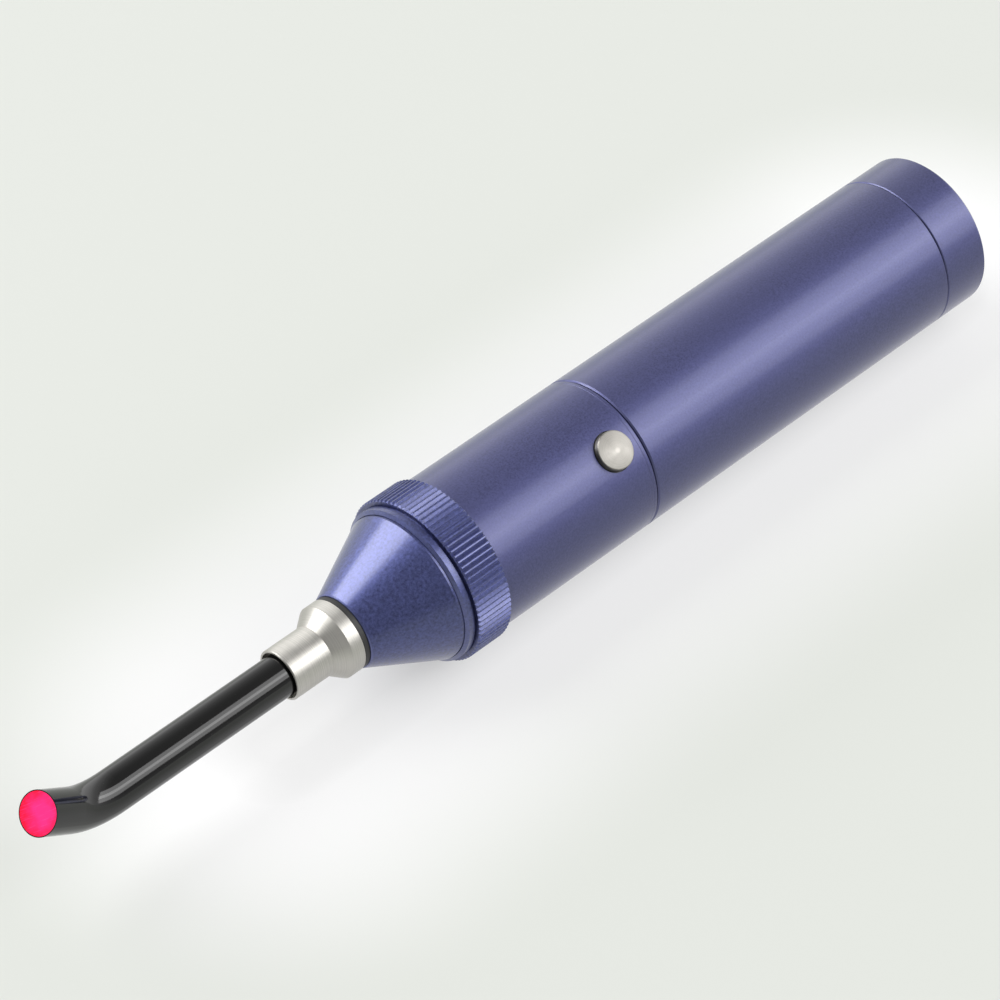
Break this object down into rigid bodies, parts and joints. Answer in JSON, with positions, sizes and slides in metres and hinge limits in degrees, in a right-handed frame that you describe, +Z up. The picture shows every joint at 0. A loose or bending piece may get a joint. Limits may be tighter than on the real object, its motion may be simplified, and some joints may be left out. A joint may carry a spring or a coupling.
{
  "type": "dental curing light",
  "caption": "Cordless pen-style curing light: anodised barrel with push button, knurled coupling ring, nose cone, steel collar and bent black light guide with a red-lit tip.",
  "frame": {"origin": "centre of the tail cap's flat rear face, on the barrel's axis", "axes": "+X along the barrel's axis towards the rear, so the light guide points along -X; +Z up with the light lying on its side, as it rests on a table; the button is turned 39 degrees from +Z towards -Y"},
  "size_m": [0.2235, 0.0328, 0.0328],
  "materials": {
    "anodised_aluminium": "bead-blasted, blue-violet anodised",
    "anodised_fittings": "coarsely blasted, blue-violet anodised",
    "button_steel": "face-turned stainless",
    "machined_aluminium": "machined",
    "satin_steel": "satin turned stainless",
    "battery_steel": "nickel plated",
    "spring_steel": "drawn wire",
    "black_rubber": "moulded",
    "black_glass": "polished, opaque black",
    "glowing_fibre": "polished fibre face, lit red from inside",
    "clear_plastic": "clear moulded",
    "black_plastic": "moulded",
    "white_plastic": "moulded",
    "circuit_board": "solder mask",
    "led_board": "white solder mask on aluminium",
    "led_ceramic": "ceramic package with silicone dome",
    "brass": "turned",
    "wire_red": "silicone insulation",
    "electrode_roll": "wound electrodes",
    "battery_wrap": "shrink sleeve"
  },
  "bodies": {
    "root": {"head_housing": "anodised_aluminium", "head_oring": "black_rubber", "nose_gasket": "black_rubber", "heat_sink": "machined_aluminium", "led_board": "led_board", "led_emitter": "led_ceramic", "board_screws": "satin_steel", "lens_holder": "black_plastic", "lens": "clear_plastic", "driver_board": "circuit_board", "board_components": "black_plastic", "tact_switch": "black_plastic", "board_carrier": "black_plastic", "battery_leads": "wire_red", "led_wires": "wire_red", "contact_board": "circuit_board", "positive_pin": "brass", "head_retainer": "machined_aluminium", "button_bush": "black_plastic", "button_seal": "black_rubber", "button_spring": "spring_steel"},
    "button": {"button_cap": "button_steel", "switch_plunger": "black_plastic", "button_clip": "satin_steel"},
    "nose": {"nose_cone": "anodised_fittings", "guide_socket": "white_plastic"},
    "coupling_ring": {"coupling_ring": "anodised_fittings"},
    "guide_seals": {"guide_gasket": "black_rubber", "guide_oring": "black_rubber"},
    "light_guide": {"guide_collar": "satin_steel", "guide_sheath": "black_glass", "guide_core": "glowing_fibre"},
    "battery": {"battery_can": "battery_steel", "battery_core": "electrode_roll", "battery_terminal": "battery_steel", "battery_wrap": "battery_wrap", "battery_sleeve": "white_plastic"},
    "battery_tube": {"battery_tube": "anodised_aluminium"},
    "contact_spring": {"contact_spring": "spring_steel"},
    "tail_cap": {"tail_cap": "anodised_aluminium", "cap_oring": "black_rubber", "contact_disc": "circuit_board", "cap_retainer": "machined_aluminium"}
  },
  "joints": [
    {"name": "nose_travel", "type": "slide", "parent": "root", "child": "nose", "axis": [-1, 0, 0], "range_m": [0, 0.0035]},
    {"name": "ring_turn", "type": "hinge", "parent": "nose", "child": "coupling_ring", "pos_m": [-0.1319, 0, 0], "axis": [-1, 0, 0], "range_deg": [0, 1260]},
    {"name": "guide_pull", "type": "slide", "parent": "nose", "child": "guide_seals", "axis": [-1, 0, 0], "range_m": [0, 0.013]},
    {"name": "guide_swivel", "type": "hinge", "parent": "guide_seals", "child": "light_guide", "pos_m": [-0.1474, 0, 0], "axis": [-1, 0, 0], "continuous": true},
    {"name": "button_press", "type": "slide", "parent": "root", "child": "button", "axis": [0, 0.6293, -0.7771], "range_m": [0, 0.0006], "stiffness_N_per_m": 1500, "springref_m": -0.0006, "deforming": ["button_spring"]},
    {"name": "tube_travel", "type": "slide", "parent": "root", "child": "battery", "axis": [1, 0, 0], "range_m": [0, 0.005]},
    {"name": "tube_turn", "type": "hinge", "parent": "battery", "child": "battery_tube", "pos_m": [-0.0888, 0, 0], "axis": [1, 0, 0], "range_deg": [0, 1440]},
    {"name": "cap_travel", "type": "slide", "parent": "battery_tube", "child": "contact_spring", "axis": [1, 0, 0], "range_m": [0, 0.005]},
    {"name": "cap_turn", "type": "hinge", "parent": "contact_spring", "child": "tail_cap", "pos_m": [-0.0107, 0, 0], "axis": [1, 0, 0], "range_deg": [0, 1440]}
  ],
  "couplings": [
    {"joint": "ring_turn", "follows": "nose_travel", "rad_per_m": 6283.2},
    {"joint": "tube_turn", "follows": "tube_travel", "rad_per_m": 5026.5},
    {"joint": "cap_turn", "follows": "cap_travel", "rad_per_m": 5026.5}
  ]
}
